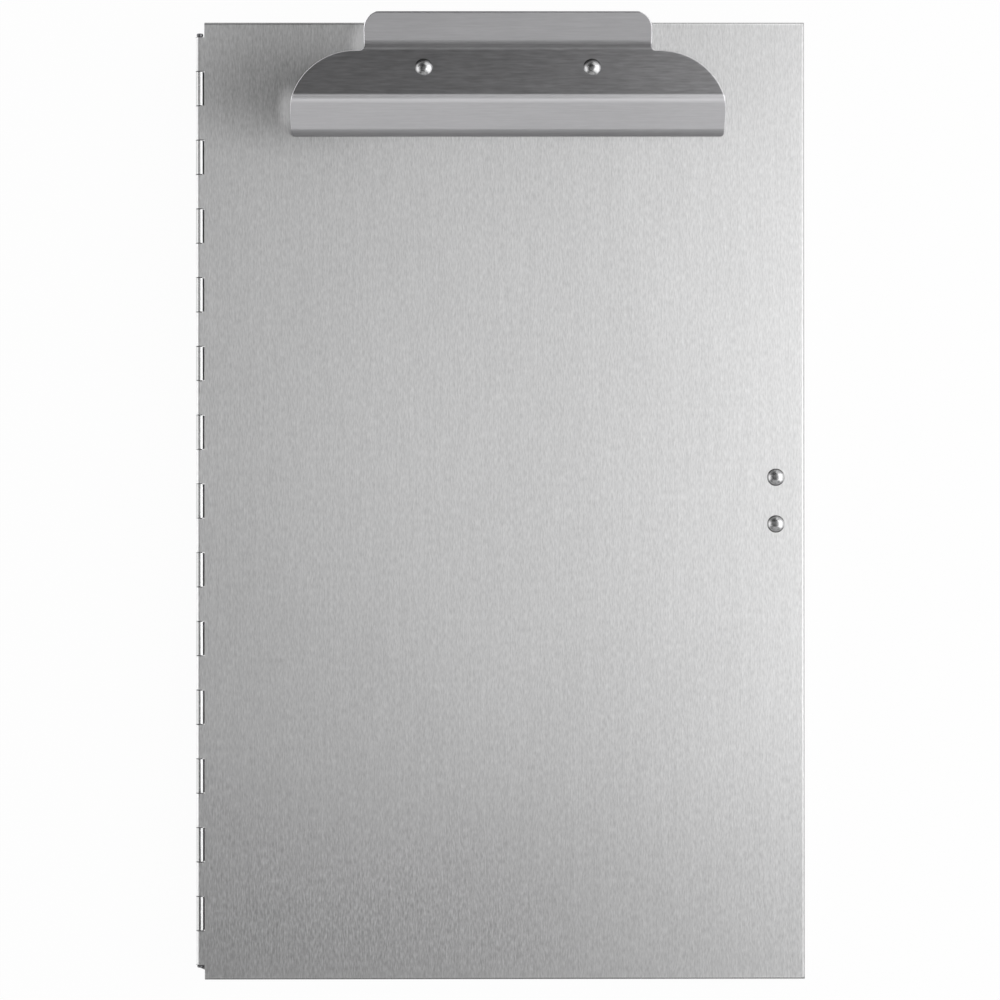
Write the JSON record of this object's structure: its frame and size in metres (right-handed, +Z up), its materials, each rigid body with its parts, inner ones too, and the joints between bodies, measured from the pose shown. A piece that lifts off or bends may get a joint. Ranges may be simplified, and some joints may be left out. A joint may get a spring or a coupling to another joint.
{
  "type": "storage clipboard box",
  "caption": "Aluminium storage clipboard: shallow paper tray under a brushed writing plate on a long piano hinge, with a wide sprung clip at the head and a snap latch.",
  "frame": {"origin": "centre of the tray's flat underside, on the surface that the box lies on", "axes": "+Z up out of the writing plate, +Y along the plate towards the clip, +X to the latch side; the hinge is on the -X side"},
  "size_m": [0.2424, 0.3823, 0.0432],
  "materials": {
    "brushed_aluminium": "brushed along the plate's length, satin",
    "aluminium_sheet": "mill-finish sheet, brighter on the rolled knuckles",
    "clip_steel": "brushed across the clip's width",
    "bracket_steel": "plain pressed steel",
    "spring_steel": "hard drawn, smooth",
    "pin_steel": "dark drawn wire",
    "rivet_metal": "polished domes"
  },
  "bodies": {
    "tray": {"tray_pan": "aluminium_sheet", "tray_rivet_1": "rivet_metal", "tray_rivet_2": "rivet_metal", "tray_rivet_3": "rivet_metal", "tray_rivet_4": "rivet_metal", "hinge_pin": "pin_steel"},
    "lid": {"lid_plate": "brushed_aluminium", "latch_spring": "spring_steel", "latch_rivet_upper": "rivet_metal", "latch_rivet_lower": "rivet_metal", "clip_base": "bracket_steel", "base_rivet_1": "rivet_metal", "base_rivet_2": "rivet_metal", "base_rivet_3": "rivet_metal", "base_rivet_4": "rivet_metal", "clip_pin": "pin_steel", "clip_spring_left": "spring_steel", "clip_spring_right": "spring_steel"},
    "clip": {"clip_plate": "clip_steel", "clip_yoke": "bracket_steel", "clip_rivet_left": "rivet_metal", "clip_rivet_right": "rivet_metal"}
  },
  "joints": [
    {"name": "lid_hinge", "type": "hinge", "parent": "tray", "child": "lid", "pos_m": [-0.12065, 0, 0.0224], "axis": [0, -1, 0], "range_deg": [0, 180], "deforming": ["latch_spring"]},
    {"name": "clip_pivot", "type": "hinge", "parent": "lid", "child": "clip", "pos_m": [0.002, 0.1704, 0.0296], "axis": [-1, 0, 0], "range_deg": [0, 30], "stiffness_Nm_per_rad": 0.6, "springref_deg": -34.38, "deforming": ["clip_spring_left", "clip_spring_right"]}
  ]
}
